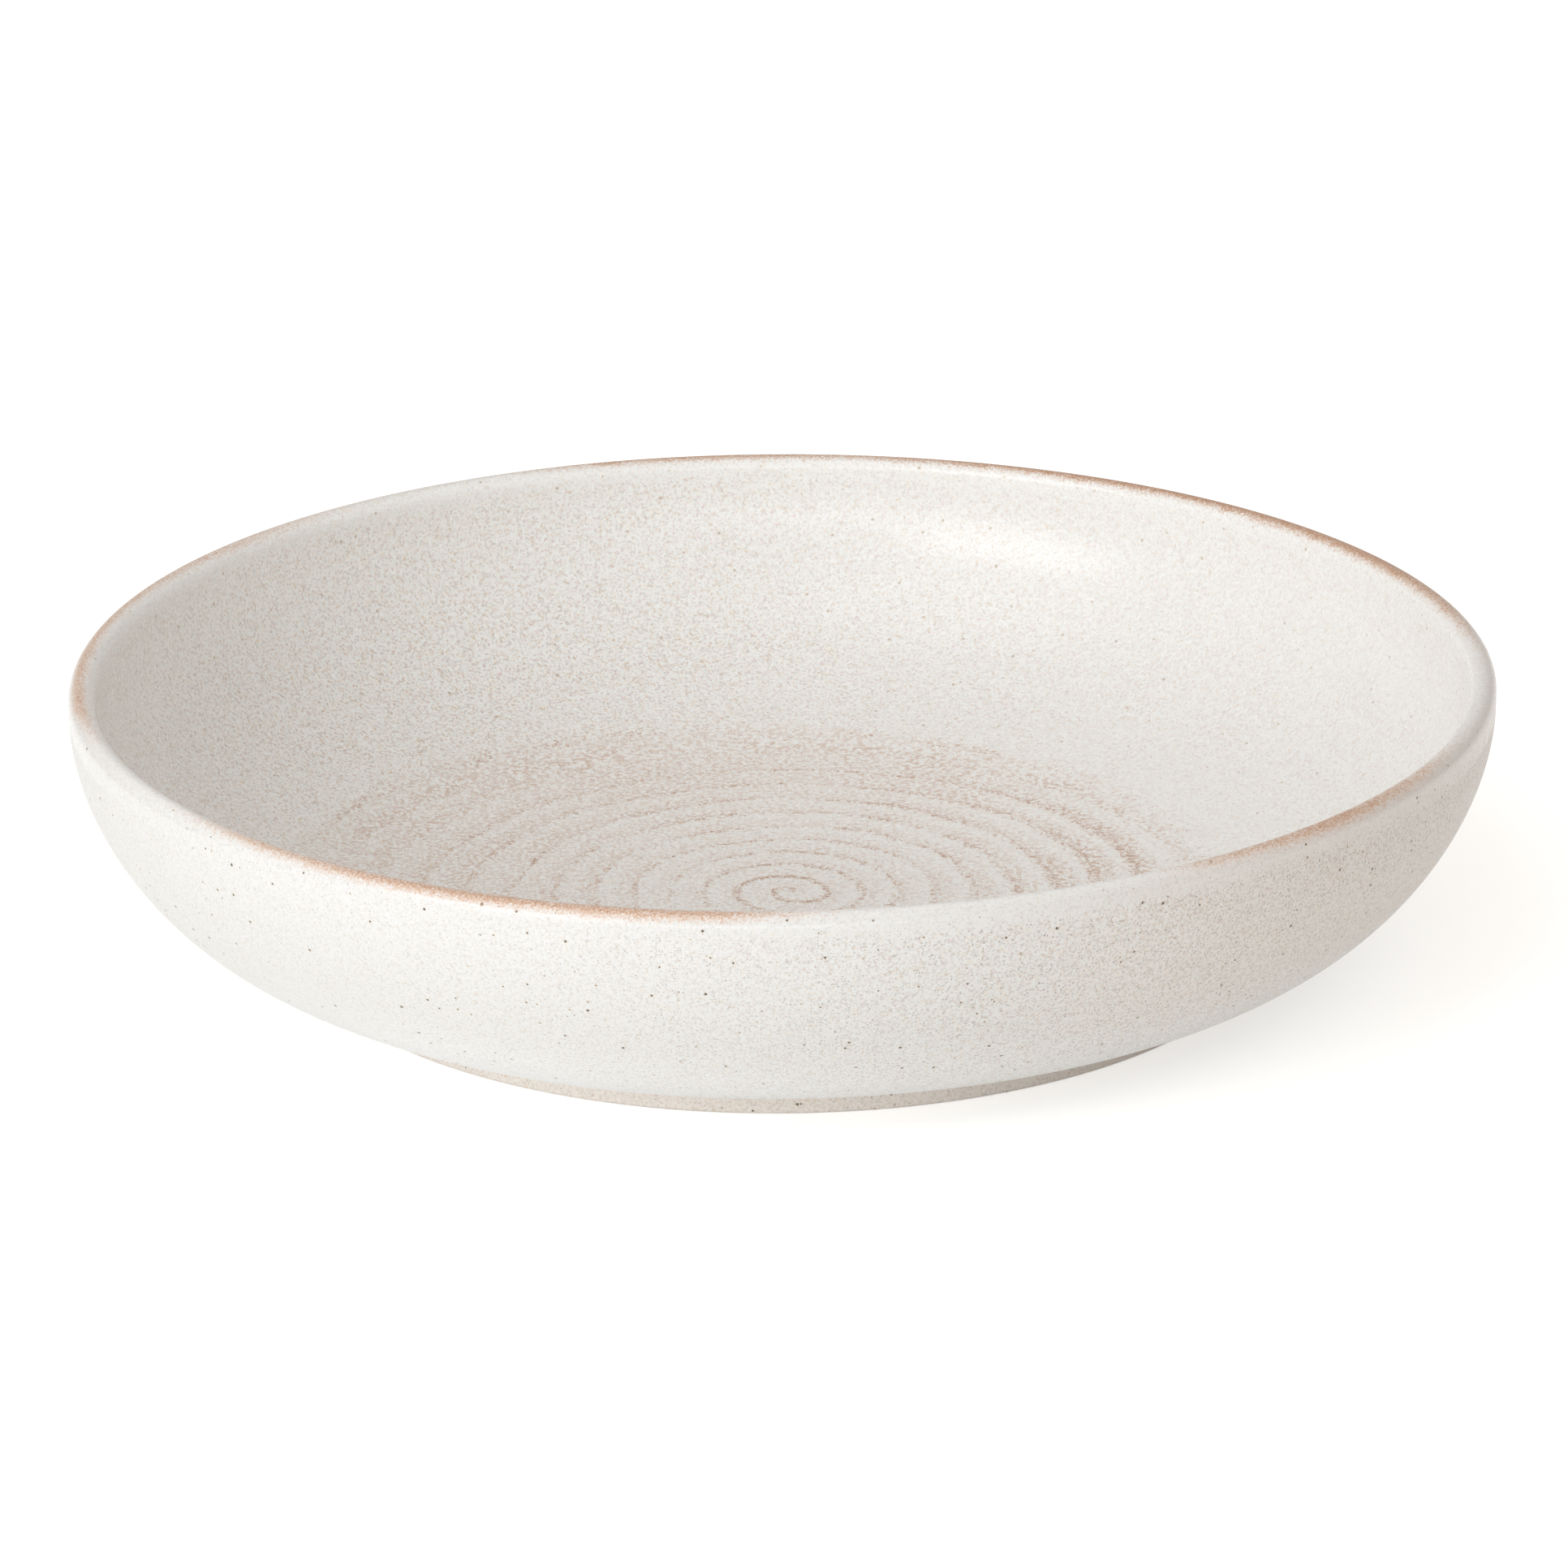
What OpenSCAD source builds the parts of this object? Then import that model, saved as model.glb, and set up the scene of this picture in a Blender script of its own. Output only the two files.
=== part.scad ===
// Shallow stoneware salad bowl: one pressed clay body with a turned foot,
// fired under separate coats of glaze. A raised throwing spiral on the floor
// stands through the inside coat, and the lip has a band of thin glaze.
// Millimetres, +Z up, origin on the table at the middle of the foot.

/* [Overall] */
// Outside diameter at the rim, glaze included
rim_d = 330; // [300:1:360]
// Height from the table to the top of the lip
height = 66; // [58:1:80]

/* [Wall] */
// Thickness of the finished wall at the rim, both coats included
wall_t = 6; // [4.4:0.1:7.6]
// Slope of the underside where the wall leaves the foot, in degrees
wall_slope = 7; // [2:0.5:14]
// How far the underside runs out from the foot before it turns up
wall_reach = 28; // [20:0.5:32]
// Height over which the outside straightens up below the rim band
wall_upright = 21; // [14:0.5:28]

/* [Floor] */
// Thickness of the clay floor
floor_t = 4.7; // [3.5:0.1:7]
// Radius of the flat part of the floor
floor_r = 90; // [70:1:96]
// How far the inside runs out from the flat before it turns up
floor_reach = 43; // [38:0.5:50]
// Height over which the inside straightens up below the rim band
inside_upright = 26; // [18:0.5:32]

/* [Foot] */
// Outside diameter of the foot where it stands
foot_d = 229; // [216:1:236]
// Width of the foot ring where it stands
foot_w = 9; // [6:0.5:13]
// Height of the outer face of the foot
foot_h = 5.2; // [4:0.1:7]
// How much wider the foot is at the top of its outer face, on the radius
foot_draft = 0.8; // [0:0.1:2]
// Radius of the hollow curve from the foot into the wall
foot_cove = 2.3; // [1:0.1:3.5]
// Radius worn on the two edges that meet the table
foot_edge = 1.2; // [0.5:0.1:1.8]
// Radius of the hollow curve inside the foot
recess_cove = 1.5; // [0.5:0.1:2]
// Depth of the glazed recess under the floor
recess_depth = 3; // [2.5:0.1:4.5]

/* [Glaze] */
// Thickness of every coat of glaze
glaze_t = 0.5; // [0.3:0.05:0.8]
// Height of the thin band over the lip, from its top down
rim_band_h = 6; // [4.5:0.5:9]

/* [Throwing spiral] */
// Mean distance from one turn of the spiral to the next
spiral_pitch = 9; // [7:0.5:14]
// Width of the raised line
spiral_w = 1.2; // [0.8:0.1:2]
// How far the line stands above the glaze
spiral_rise = 0.3; // [0.1:0.05:0.6]
// Radius of the half circle that the line starts with
spiral_start = 3; // [1.5:0.5:6]
// How much nearer the middle the turns half way out lie than evenly spaced ones would
spiral_bow = 3.4; // [0:0.2:4]
// Flat floor left bare outside the last turn
spiral_margin = 0.8; // [0.4:0.1:8]

/* [Hidden] */
$fn = 180;

// Steps along each wall curve, along the lip and along the small radii
wall_steps = 28;
lip_steps = 14;
cove_steps = 6;
// Steps in one turn of the spiral, and the share of a turn over which each end tapers
turn_steps = 48;
taper_turns = 0.25;

rim_r = rim_d / 2;
foot_r = foot_d / 2;
recess_r = foot_r - foot_w;
lip_r = wall_t / 2;
band_z = height - rim_band_h;
base_z = recess_depth + glaze_t;
floor_z = base_z + floor_t;
wall_foot = [foot_r + foot_draft + foot_cove, foot_h + foot_cove];

// The wall's two faces of clay are cubic curves, each from four control points:
// the outside from the foot to the rim band, the inside from the floor to the rim band.
outside_curve = [
    wall_foot,
    wall_foot + wall_reach * [cos(wall_slope), sin(wall_slope)],
    [rim_r - glaze_t, band_z - wall_upright],
    [rim_r - glaze_t, band_z]
];
inside_curve = [
    [floor_r, floor_z],
    [floor_r + floor_reach, floor_z],
    [rim_r - wall_t + glaze_t, band_z - inside_upright],
    [rim_r - wall_t + glaze_t, band_z]
];

// Point on a cubic curve at t from 0 to 1, and the direction of travel there
function curve_point(c, t) =
    c[0] * pow(1 - t, 3) + 3 * c[1] * pow(1 - t, 2) * t + 3 * c[2] * (1 - t) * t * t + c[3] * pow(t, 3);
function curve_way(c, t) =
    let (way = (c[1] - c[0]) * pow(1 - t, 2) + 2 * (c[2] - c[1]) * (1 - t) * t + (c[3] - c[2]) * t * t)
    way / norm(way);

// The curve from its start to its end, moved sideways: to the left of travel when positive
function curve_run(c, sideways = 0) = [
    for (i = [0 : wall_steps])
        let (t = i / wall_steps, way = curve_way(c, t))
            curve_point(c, t) + sideways * [-way.y, way.x]
];

// Points on an arc, from one angle to another
function arc(centre, r, from, to, steps) = [
    for (i = [0 : steps])
        let (a = from + (to - from) * i / steps)
            centre + r * [cos(a), sin(a)]
];
function reversed(points) = [for (i = [len(points) - 1 : -1 : 0]) points[i]];

// Half circle over the lip, from the outside to the inside
function lip_run(r) = arc([rim_r - lip_r, height - lip_r], r, 0, 180, lip_steps);

// Section of the foot ring, from the recess round the table edges to the wall
function foot_run() = concat(
    arc([recess_r - recess_cove, base_z - recess_cove], recess_cove, 90, 0, cove_steps),
    arc([recess_r + foot_edge, foot_edge], foot_edge, 180, 270, cove_steps),
    arc([foot_r - foot_edge, foot_edge], foot_edge, 270, 360, cove_steps),
    arc([wall_foot.x, foot_h], foot_cove, 180, 90, cove_steps)
);

// The spiral is a chain of half circles. Those behind the middle are centred on the axis, and
// each one in front joins two of them, so its centre lies to the side.
spiral_reach = floor_r - spiral_margin - spiral_w / 2;
spiral_halves = floor((spiral_reach - spiral_start) / (spiral_pitch / 2));
spiral_turns = spiral_halves / 2;
// The line narrows to a point at both ends
function spiral_half_width(turns) =
    spiral_w / 2 * min(1, turns / taper_turns, (spiral_turns - turns) / taper_turns);
// Radius behind the middle after whole turns: close turns at first, wider ones outward
function ring_r(turns) =
    spiral_start + turns * spiral_pitch - spiral_bow * sin(180 * turns / spiral_turns);
function spiral_point(turns, side) =
    let (half = min(floor(2 * turns), spiral_halves - 1), ring = floor(half / 2))
    let (shift = half % 2 * (ring_r(ring + 1) - ring_r(ring)) / 2)
    let (r = ring_r(ring) + shift + side * spiral_half_width(turns))
    [shift + r * cos(360 * turns), r * sin(360 * turns)];
function spiral_edge(side, first, last) = [
    for (i = [first : last]) spiral_point(i / turn_steps, side)
];

// Fired clay: floor, wall and foot are pressed as one piece
module stoneware_body() {
    color("#c9b8a3") rotate_extrude() polygon(concat(
        [[0, base_z]],
        foot_run(),
        curve_run(outside_curve),
        lip_run(lip_r - glaze_t),
        reversed(curve_run(inside_curve)),
        [[0, floor_z]]
    ));
}

// Coat inside the bowl, with a gap where the throwing spiral comes through
module inner_glaze() {
    color("#ecebe5") difference() {
        rotate_extrude() polygon(concat(
            [[0, floor_z]],
            curve_run(inside_curve),
            reversed(curve_run(inside_curve, glaze_t)),
            [[0, floor_z + glaze_t]]
        ));
        translate([0, 0, floor_z - glaze_t]) spiral_line(3 * glaze_t);
    }
}

// Coat outside the bowl, from the rim band to the glaze line at the foot
module outer_glaze() {
    color("#f1f0eb") rotate_extrude() polygon(concat(
        curve_run(outside_curve),
        reversed(curve_run(outside_curve, -glaze_t))
    ));
}

// Thin coat over the lip, where the clay shows through brown
module rim_glaze() {
    color("#bf9474") rotate_extrude() polygon(concat(
        [[rim_r, band_z]],
        lip_run(lip_r),
        [[rim_r - wall_t, band_z], [rim_r - wall_t + glaze_t, band_z]],
        reversed(lip_run(lip_r - glaze_t)),
        [[rim_r - glaze_t, band_z]]
    ));
}

// Coat in the recess under the floor, clear of the bare foot ring
module base_glaze() {
    color("#e9e6de") translate([0, 0, recess_depth]) cylinder(h = glaze_t, r = recess_r - recess_cove);
}

// Raised line of clay that the glaze draws back from
module throwing_spiral() {
    color("#b9855f") translate([0, 0, floor_z]) spiral_line(glaze_t + spiral_rise);
}

// The spiral as a line of given height, anticlockwise outward
module spiral_line(h) {
    last = spiral_turns * turn_steps;
    linear_extrude(height = h) polygon(concat(
        spiral_edge(1, 0, last),
        reversed(spiral_edge(-1, 1, last - 1))
    ));
}

stoneware_body();
inner_glaze();
outer_glaze();
rim_glaze();
base_glaze();
throwing_spiral();
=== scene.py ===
# %% [markdown]
# # A speckled stoneware salad bowl
#
# The bowl is one piece of fired clay under coats of glaze. The CAD model already gives it its real
# size, so Blender only has to dress it: finer skins than the CAD's, a lip that is a little out of
# true as hand work is, and a glaze with all its specks, breaks and rings. We load the CAD model
# first.

# %% Load the frame
import math

import bpy
import numpy as np
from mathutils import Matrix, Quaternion, Vector


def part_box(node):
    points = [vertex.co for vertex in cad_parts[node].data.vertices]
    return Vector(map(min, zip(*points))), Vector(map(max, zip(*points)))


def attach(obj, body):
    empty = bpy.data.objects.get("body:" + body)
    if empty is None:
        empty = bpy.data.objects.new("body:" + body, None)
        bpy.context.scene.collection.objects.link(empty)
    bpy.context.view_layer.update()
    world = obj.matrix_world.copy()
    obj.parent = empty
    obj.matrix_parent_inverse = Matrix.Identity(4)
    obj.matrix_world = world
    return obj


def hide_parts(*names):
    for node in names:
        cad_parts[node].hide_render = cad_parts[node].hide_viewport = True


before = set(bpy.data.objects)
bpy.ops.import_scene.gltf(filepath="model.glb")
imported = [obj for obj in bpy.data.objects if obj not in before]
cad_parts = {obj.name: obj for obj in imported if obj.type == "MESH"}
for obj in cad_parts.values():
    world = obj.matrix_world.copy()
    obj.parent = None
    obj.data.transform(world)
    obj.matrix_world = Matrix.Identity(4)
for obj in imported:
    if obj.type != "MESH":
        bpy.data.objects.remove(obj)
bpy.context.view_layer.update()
print("CAD nodes:", ", ".join(sorted(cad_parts)))

# %% [markdown]
# ## Sizes
#
# Most sizes can be read from the boxes of the CAD nodes. That is better than typing them again,
# because they then follow the CAD. Blender works in metres, so a length here is a number of
# millimetres times MM.

# %% Sizes from the frame
MM = 0.001
rim_low, rim_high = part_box("rim_glaze")
base_low, base_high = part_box("base_glaze")
inner_low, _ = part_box("inner_glaze")

RIM_R, HEIGHT, BAND_Z = rim_high.x, rim_high.z, rim_low.z
BASE_R, BASE_Z = base_high.x, base_low.z
GLAZE = base_high.z - base_low.z
CLAY_FLOOR_Z = inner_low.z
FLOOR_Z = CLAY_FLOOR_Z + GLAZE
print(f"rim {2000 * RIM_R:.1f} mm across, {1000 * HEIGHT:.1f} mm high, glaze {1000 * GLAZE:.2f} mm")

# %% [markdown]
# ## The two faces of the wall
#
# A bowl is thrown on a wheel, so every skin of it is a section turned round the middle. The inside
# and the outside of the wall are smooth bends, which a box doesn't tell. They are cubic curves in
# the CAD, so the same few handles are written here: four points of radius and height for each face
# of the clay.

# %% Handles of the wall
WALL = 6 * MM
LIP_R = WALL / 2
FLOOR_R, FLOOR_REACH, INSIDE_UPRIGHT = 90 * MM, 43 * MM, 26 * MM
WALL_SLOPE, WALL_REACH, WALL_UPRIGHT = math.radians(7), 28 * MM, 21 * MM
FOOT_R, FOOT_H, FOOT_DRAFT, FOOT_COVE = 114.5 * MM, 5.2 * MM, 0.8 * MM, 2.3 * MM
WALL_FOOT = np.array([FOOT_R + FOOT_DRAFT + FOOT_COVE, FOOT_H + FOOT_COVE])
OUTSIDE = np.array([
    WALL_FOOT,
    WALL_FOOT + WALL_REACH * np.array([math.cos(WALL_SLOPE), math.sin(WALL_SLOPE)]),
    [RIM_R - GLAZE, BAND_Z - WALL_UPRIGHT],
    [RIM_R - GLAZE, BAND_Z],
])
INSIDE = np.array([
    [FLOOR_R, CLAY_FLOOR_Z],
    [FLOOR_R + FLOOR_REACH, CLAY_FLOOR_Z],
    [RIM_R - WALL + GLAZE, BAND_Z - INSIDE_UPRIGHT],
    [RIM_R - WALL + GLAZE, BAND_Z],
])
print("outside from", np.round(1000 * OUTSIDE[0], 2), "to", np.round(1000 * OUTSIDE[-1], 2), "mm")

# %% [markdown]
# ## Points along the section
#
# A coat of glaze is the face of the clay moved sideways by its thickness. A Solidify modifier could
# do that to the finished mesh. Moving the points of the curve along its normal is exact and leaves
# the ends of the coat to us. The lip and the edges of the foot are arcs. These helpers give points
# of radius and height.

# %% Curves of the section
def curve_run(curve, steps, sideways=0.0):
    """Points along a cubic curve, moved to the left of travel by sideways."""
    t = np.linspace(0, 1, steps + 1)[:, None]
    a, b, c, d = curve
    points = a * (1 - t) ** 3 + 3 * b * (1 - t) ** 2 * t + 3 * c * (1 - t) * t**2 + d * t**3
    way = (b - a) * (1 - t) ** 2 + 2 * (c - b) * (1 - t) * t + (d - c) * t**2
    way /= np.linalg.norm(way, axis=1, keepdims=True)
    return points + sideways * np.stack([-way[:, 1], way[:, 0]], axis=1)


def arc(centre, radius, start, end, steps):
    """Points on an arc of a circle, between two angles in degrees."""
    angles = np.radians(np.linspace(start, end, steps + 1))
    return np.asarray(centre) + radius * np.stack([np.cos(angles), np.sin(angles)], axis=1)


def lip_run(radius, steps):
    """Half circle over the lip, from the outside to the inside."""
    return arc((RIM_R - LIP_R, HEIGHT - LIP_R), radius, 0, 180, steps)


print("glazed wall ends at", np.round(1000 * curve_run(OUTSIDE, 1, -GLAZE)[-1], 2), "mm")

# %% [markdown]
# ## A lip slightly out of true
#
# Clay moves as it dries and fires. In the photograph the lip dips a little at the front left and
# rises at the front right, less than a millimetre. A lattice could bend the finished bowl. A saddle
# and a tilt in a formula are enough, and they fade to nothing at the foot, so that the bowl stands
# flat. All skins use the same function and stay on each other.

# %% Warp of the fired clay
SADDLE, TILT = 0.55 * MM, 0.28 * MM
WARP_FROM_R = WALL_FOOT[0]
TINY = 1e-7


def warp(x, y, radius):
    """How far the kiln lifted each point."""
    safe = np.maximum(radius, TINY)
    share = np.clip((radius - WARP_FROM_R) / (RIM_R - WARP_FROM_R), 0, 1) ** 2
    return share * (TILT * x / safe - 2 * SADDLE * x * y / safe**2)


print(f"the lip leaves its plane by up to {1000 * (SADDLE + TILT):.2f} mm")

# %% [markdown]
# ## Turning a section into a mesh
#
# Blender has a Screw modifier that turns a line into a lathe form. Making the rings of vertices with
# numpy is as short, and it leaves us free to press finger marks into single rings. A point on the
# axis becomes one pole vertex with a fan of triangles, so that the floor has no hole and no folded
# faces. Every piece is shaded smooth, with crisp edges where its faces meet at a steep angle.

# %% Lathe
TURN_STEPS = 360
SHARP_TURN = math.radians(40)


def new_piece(name, points, faces):
    """A mesh object that rides on the bowl's one body."""
    mesh = bpy.data.meshes.new(name)
    mesh.from_pydata(points.tolist(), [], faces)
    mesh.shade_smooth()
    mesh.set_sharp_from_angle(angle=SHARP_TURN)
    piece = bpy.data.objects.new(name, mesh)
    bpy.context.scene.collection.objects.link(piece)
    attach(piece, "root")
    print(f"{name}: {len(mesh.vertices)} vertices")
    return piece


def lathe(name, section, press=None):
    """Closed piece from a closed section of (radius, height) points."""
    angles = np.linspace(0, 2 * math.pi, TURN_STEPS, endpoint=False)
    rings, points, count = [], [], 0
    for radius, height in section:
        turn = angles if radius > TINY else angles[:1]
        x, y = radius * np.cos(turn), radius * np.sin(turn)
        z = height + warp(x, y, np.full_like(x, radius))
        if press is not None:
            z = z + press(x, y, np.full_like(x, height))
        points.append(np.stack([x, y, z], axis=1))
        rings.append(np.arange(count, count + len(turn)))
        count += len(turn)
    faces = []
    for low, high in zip(rings, rings[1:] + rings[:1]):
        if len(low) == 1 and len(high) == 1:
            continue
        for j in range(TURN_STEPS):
            k = (j + 1) % TURN_STEPS
            if len(low) == 1:
                faces.append((low[0], high[k], high[j]))
            elif len(high) == 1:
                faces.append((low[j], low[k], high[0]))
            else:
                faces.append((low[j], low[k], high[k], high[j]))
    return new_piece(name, np.concatenate(points), faces)


print("a turn has", TURN_STEPS, "steps")

# %% [markdown]
# ## The clay body
#
# Under the glaze is the clay, which shows only at the foot: potters wipe the foot clean so that the
# bowl doesn't stick to the kiln shelf. It is turned as one closed section, from the recess round the
# foot, up the outside, over the lip and down the inside. The edges that meet the table are worn round.

# %% Clay body with its foot ring
WALL_STEPS, LIP_STEPS, EDGE_STEPS = 44, 20, 8
FOOT_W, FOOT_EDGE, RECESS_COVE = 9 * MM, 1.2 * MM, 1.5 * MM
RECESS_R = FOOT_R - FOOT_W
CLAY_BASE_Z = BASE_Z + GLAZE
foot_section = np.concatenate([
    arc((RECESS_R - RECESS_COVE, CLAY_BASE_Z - RECESS_COVE), RECESS_COVE, 90, 0, EDGE_STEPS),
    arc((RECESS_R + FOOT_EDGE, FOOT_EDGE), FOOT_EDGE, 180, 270, EDGE_STEPS),
    arc((FOOT_R - FOOT_EDGE, FOOT_EDGE), FOOT_EDGE, 270, 360, EDGE_STEPS),
    arc((WALL_FOOT[0], FOOT_H), FOOT_COVE, 180, 90, EDGE_STEPS),
])
clay_body = lathe("clay_body", np.concatenate([
    [[0, CLAY_BASE_Z]],
    foot_section,
    curve_run(OUTSIDE, WALL_STEPS),
    lip_run(LIP_R - GLAZE, LIP_STEPS),
    curve_run(INSIDE, WALL_STEPS)[::-1],
    [[0, CLAY_FLOOR_Z]],
]))
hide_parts("stoneware_body")

# %% [markdown]
# ## The coat outside
#
# The outer coat starts at a crisp line above the foot. Melted glaze draws back from a wiped edge and
# rounds off, so the coat thins out towards that line and ends in a small half circle. A bevel on the
# mesh would round it too, but here the section is ours to draw, so the bead is a few points of an arc.

# %% Outer coat
BEAD_STEPS = 6
BEAD_SHARE, BEAD_FADE = 0.3, 0.1
along = np.linspace(0, 1, WALL_STEPS + 1)[:, None]
coat = GLAZE * (BEAD_SHARE + (1 - BEAD_SHARE) * np.sqrt(np.clip(along / BEAD_FADE, 0, 1)))
outer_skin = curve_run(OUTSIDE, WALL_STEPS, -coat)
outer_clay = curve_run(OUTSIDE, WALL_STEPS)
bead_centre = (outer_skin[0] + outer_clay[0]) / 2
bead_start = math.degrees(math.atan2(*(outer_clay[0] - bead_centre)[::-1]))
bead = arc(bead_centre, coat[0, 0] / 2, bead_start, bead_start - 180, BEAD_STEPS)
outer_glaze = lathe("glaze_outside", np.concatenate([outer_clay[:0:-1], bead, outer_skin[1:]]))
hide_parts("outer_glaze")

# %% [markdown]
# ## The band over the lip
#
# The band over the lip is a coat of its own, because glaze runs off a lip and stays thin there. Its
# skin gets twice the steps of the clay below, since the lip is the outline that the eye follows.

# %% Rim coat
BAND_STEPS = 6
band_heights = np.linspace(BAND_Z, HEIGHT - LIP_R, BAND_STEPS, endpoint=False)
band_out = np.stack([np.full(BAND_STEPS, RIM_R), band_heights], axis=1)
band_in = np.stack([np.full(BAND_STEPS, RIM_R - WALL), band_heights[::-1]], axis=1)
rim_glaze = lathe("glaze_rim", np.concatenate([
    band_out,
    lip_run(LIP_R, 2 * LIP_STEPS),
    band_in,
    [[RIM_R - WALL + GLAZE, BAND_Z]],
    lip_run(LIP_R - GLAZE, LIP_STEPS)[::-1],
    [[RIM_R - GLAZE, BAND_Z]],
]))
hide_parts("rim_glaze")

# %% [markdown]
# ## The coat under the floor
#
# The recess inside the foot ring is glazed too, so that the bowl is easy to wash. A flat disc is all
# that it needs. It is turned with rings like the rest, and not left as one large round face, because
# even faces bake and shade better.

# %% Base coat
BASE_STEPS = 30
base_radii = np.linspace(0, BASE_R, BASE_STEPS)
base_glaze = lathe("glaze_base", np.concatenate([
    np.stack([base_radii, np.full(BASE_STEPS, BASE_Z)], axis=1),
    np.stack([base_radii[::-1], np.full(BASE_STEPS, BASE_Z + GLAZE)], axis=1),
]))
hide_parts("base_glaze")

# %% [markdown]
# ## The throwing spiral
#
# A finger drawn from the middle outward while the wheel turns leaves a spiral. Here it is a chain of
# half circles about two centres that are half a pitch apart: the half behind the middle is centred on
# the axis, and the half in front is shifted. The turns half way out lie nearer the middle than even
# ones would. Real finger lines also waver, so a sum of two waves moves the line in and out. The glaze
# uses the same formula again, so that colour and relief agree.

# %% Line of the spiral
PITCH, SPIRAL_START = 9 * MM, 3 * MM
SPIRAL_HALVES = 19
# How far inward the turns are bowed, as a share of the pitch, and the radius where that ends
BOW, BOW_R = 0.38, 80 * MM
# Each wave's length along x and along y, its phase, and its height as a share of the pitch
WAVES = (
    (61 * MM, 83 * MM, 0.0, 0.035),
    (37 * MM, -49 * MM, 1.3, 0.03),
)
SETTLE_ROUNDS = 3


def waver(x, y):
    """How far inward of even turns the finger went, as a share of the pitch."""
    return BOW * np.sin(math.pi * np.hypot(x, y) / BOW_R) + sum(
        share * np.sin(2 * math.pi * (x / along_x + y / along_y) + phase)
        for along_x, along_y, phase, share in WAVES
    )


def spiral_point(turns):
    """Middle of the line after a number of turns, and the way outward there."""
    half = np.minimum(np.floor(2 * turns), SPIRAL_HALVES - 1)
    radius = SPIRAL_START + half * PITCH / 2
    outward = np.stack([np.cos(2 * math.pi * turns), np.sin(2 * math.pi * turns)], axis=1)
    centre = np.stack([half % 2 * PITCH / 2, np.zeros_like(turns)], axis=1)
    nominal = centre + radius[:, None] * outward
    line = nominal
    for _ in range(SETTLE_ROUNDS):
        line = nominal - PITCH * waver(*line.T)[:, None] * outward
    return line, outward


_, spiral_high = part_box("throwing_spiral")
print(f"spiral of {SPIRAL_HALVES / 2} turns, out to {1000 * spiral_high.x:.1f} mm")

# %% [markdown]
# ## The coat inside
#
# The floor of the bowl isn't flat like glass: each turn of the spiral left a low swell under the
# glaze. A bump in the material would only shade it, so the swell is pressed into the lathe's rings,
# where it bends the reflections as the real one does. It is highest on the line of the spiral and
# fades out where the wall begins.

# %% Inner coat with finger swells
SWELL = 0.04 * MM
SWELL_FADE_R = 118 * MM
FLOOR_STEPS = 64


def ring_phase(x, y):
    """Turns of the spiral counted outward: a whole number on the line."""
    behind = (np.hypot(x, y) - SPIRAL_START) / PITCH
    before = (np.hypot(x - PITCH / 2, y) - SPIRAL_START) / PITCH - 0.5
    return np.where(y > 0, behind, before) + waver(x, y)


def finger_swells(x, y, height):
    """Low waves across the floor, only on the coat's upper face."""
    radius = np.hypot(x, y)
    fade = np.clip((SWELL_FADE_R - radius) / (SWELL_FADE_R - FLOOR_R), 0, 1)
    upper = height > CLAY_FLOOR_Z + GLAZE / 2
    return np.where(upper, SWELL * fade * np.cos(2 * math.pi * ring_phase(x, y)), 0)


floor_radii = np.linspace(0, FLOOR_R, FLOOR_STEPS, endpoint=False)
inner_glaze = lathe("glaze_inside", np.concatenate([
    [[0, CLAY_FLOOR_Z]],
    curve_run(INSIDE, WALL_STEPS),
    curve_run(INSIDE, 2 * WALL_STEPS, GLAZE)[::-1],
    np.stack([floor_radii, np.full(FLOOR_STEPS, FLOOR_Z)], axis=1)[::-1],
]), finger_swells)
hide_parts("inner_glaze")

# %% [markdown]
# ## The raised line
#
# Along the spiral stands a low ridge of clay. A curve with a bevel could make it, but then its height
# couldn't follow the swells. So it is a closed strip: a few points across at every step along the
# line, with a rounded top on the swells, a flat underside sunk in the glaze, and both ends tapered.

# %% Ridge along the spiral
RIDGE_W, RIDGE_RISE, RIDGE_SINK = 1.5 * MM, 0.1 * MM, 0.2 * MM
RIDGE_STEP = 0.9 * MM
RIDGE_TAPER_TURNS, RIDGE_TIP = 0.25, 0.02
ACROSS_POINTS = 7


def spiral_ridge(name):
    last = SPIRAL_HALVES / 2
    length = sum(math.pi * (SPIRAL_START + half * PITCH / 2) for half in range(SPIRAL_HALVES))
    steps = int(length / RIDGE_STEP)
    turns = last * np.sqrt(np.linspace(0, 1, steps))
    line, outward = spiral_point(turns)
    taper = np.clip(np.minimum(turns, last - turns) / RIDGE_TAPER_TURNS, RIDGE_TIP, 1)
    top, bottom = [], []
    for u in np.linspace(-1, 1, ACROSS_POINTS):
        xy = line + (u * RIDGE_W / 2 * taper)[:, None] * outward
        swell = finger_swells(xy[:, 0], xy[:, 1], np.full(steps, FLOOR_Z))
        rise = RIDGE_RISE * taper * math.cos(u * math.pi / 2) ** 2
        top.append(np.column_stack([xy, FLOOR_Z + swell + rise]))
        bottom.append(np.column_stack([xy, np.full(steps, FLOOR_Z - RIDGE_SINK)]))
    loop = np.stack(top[::-1] + bottom, axis=1)
    around = loop.shape[1]
    index = np.arange(steps * around).reshape(steps, around)
    faces = [
        (index[i, j], index[i, (j + 1) % around], index[i + 1, (j + 1) % around], index[i + 1, j])
        for i in range(steps - 1)
        for j in range(around)
    ]
    faces += [tuple(index[0, ::-1]), tuple(index[-1])]
    return new_piece(name, loop.reshape(-1, 3), faces)


throwing_ridge = spiral_ridge("throwing_ridge")
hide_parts("throwing_spiral")

# %% [markdown]
# ## A bench for shader nodes
#
# Finishes are made of nodes, and a tree of fifty nodes is hard to read as fifty lines of links. This
# small class places a node and joins its inputs in one call. An input is given a number, a colour or
# another node's socket, and the call gives back the socket of the result.

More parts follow.
